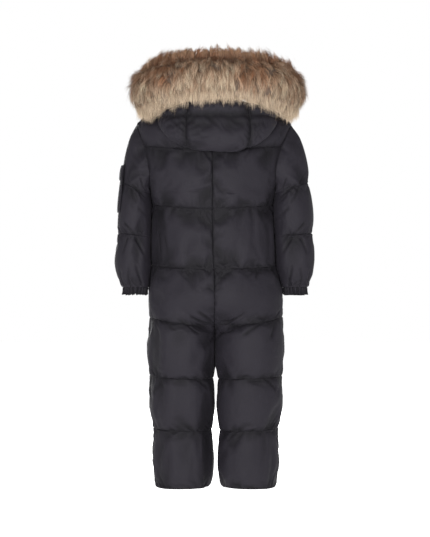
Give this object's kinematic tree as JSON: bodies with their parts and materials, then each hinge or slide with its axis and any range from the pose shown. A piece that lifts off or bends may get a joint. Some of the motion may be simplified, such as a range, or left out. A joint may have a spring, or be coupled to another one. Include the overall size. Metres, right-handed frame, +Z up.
{
  "type": "toddler snowsuit",
  "caption": "Quilted toddler snowsuit filled out as worn, with a front zip, gathered cuffs, a sleeve pocket and a lowered hood edged with thick fur.",
  "frame": {"origin": "midway between the shoulders at the height of the shoulder seams, where the wearer's shoulders carry the suit", "axes": "+Z up along the body, -Y the front with the zip, +X the wearer's left"},
  "size_m": [0.395, 0.2843, 0.8606],
  "materials": {
    "shell": "matt nylon with a soft sheen",
    "cuff": "elastic gathered nylon",
    "fur": "long dense hair, brown and beige",
    "zip_tape": "woven tape",
    "zip_metal": "black satin"
  },
  "bodies": {
    "suit": {"back_left": "shell", "back_right": "shell", "front_left": "shell", "front_right": "shell", "sleeve_left": "shell", "sleeve_right": "shell", "cuff_left": "cuff", "cuff_right": "cuff", "collar": "shell", "hood_centre": "shell", "hood_left": "shell", "hood_right": "shell", "fur_trim": "fur", "pocket_left_sleeve": "shell", "pocket_flap": "shell", "zip": "zip_tape", "zip_slider": "zip_metal"},
    "pull_tab": {"zip_pull": "zip_metal"}
  },
  "joints": [
    {"name": "pull_tab_hinge", "type": "hinge", "parent": "suit", "child": "pull_tab", "pos_m": [0.002, -0.05471, 0.0043], "axis": [-1, 0, 0], "range_deg": [0, 150]}
  ]
}
